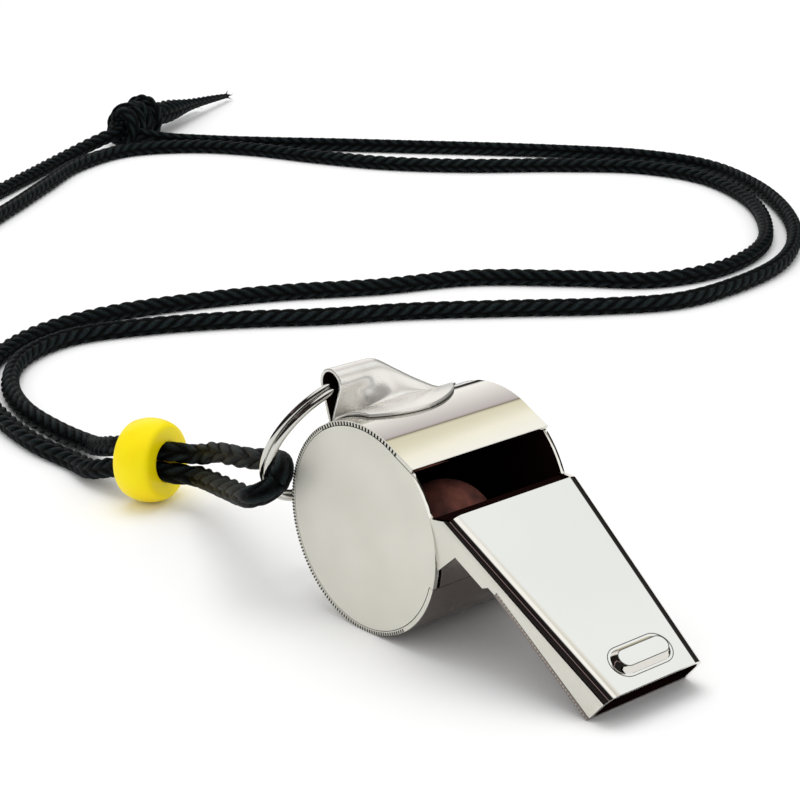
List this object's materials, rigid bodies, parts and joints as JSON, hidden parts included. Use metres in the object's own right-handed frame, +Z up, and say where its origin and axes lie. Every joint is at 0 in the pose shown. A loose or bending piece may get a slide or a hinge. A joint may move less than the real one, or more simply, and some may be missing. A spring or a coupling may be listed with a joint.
{
  "type": "pea whistle",
  "caption": "Nickel-plated sheet-metal pea whistle with a lanyard loop, split ring and a braided neck cord with a bead.",
  "frame": {"origin": "on the table, straight under the middle of the barrel", "axes": "+X from the barrel towards the mouth, +Y across the barrel, +Z up"},
  "size_m": [0.2468, 0.1764, 0.0267],
  "materials": {
    "nickel": "polished nickel plating on brass sheet",
    "ring_steel": "polished plated spring steel wire",
    "cork": "dyed cork, matt",
    "bead_plastic": "moulded plastic, satin",
    "cord": "braided polyester, black"
  },
  "bodies": {
    "whistle": {"body_shell": "nickel", "barrel_band": "nickel", "windway_floor": "nickel", "lanyard_loop": "nickel", "cord_strand_a": "cord", "cord_strand_b": "cord", "end_knot": "cord"},
    "pea": {"pea": "cork"},
    "ring": {"split_ring": "ring_steel"},
    "bead": {"bead": "bead_plastic"}
  },
  "joints": [
    {"name": "pea_roll", "type": "hinge", "parent": "whistle", "child": "pea", "pos_m": [0, 0, 0.0115], "axis": [0, 1, 0], "continuous": true},
    {"name": "ring_swing", "type": "hinge", "parent": "whistle", "child": "ring", "pos_m": [-0.0069, -0.0038, 0.02504], "axis": [0, 1, 0], "range_deg": [0, 60], "deforming": ["cord_strand_a", "cord_strand_b"]},
    {"name": "bead_slide", "type": "slide", "parent": "whistle", "child": "bead", "axis": [0.9348, 0.3494, 0.0635], "range_m": [-0.0015, 0.0035]}
  ]
}
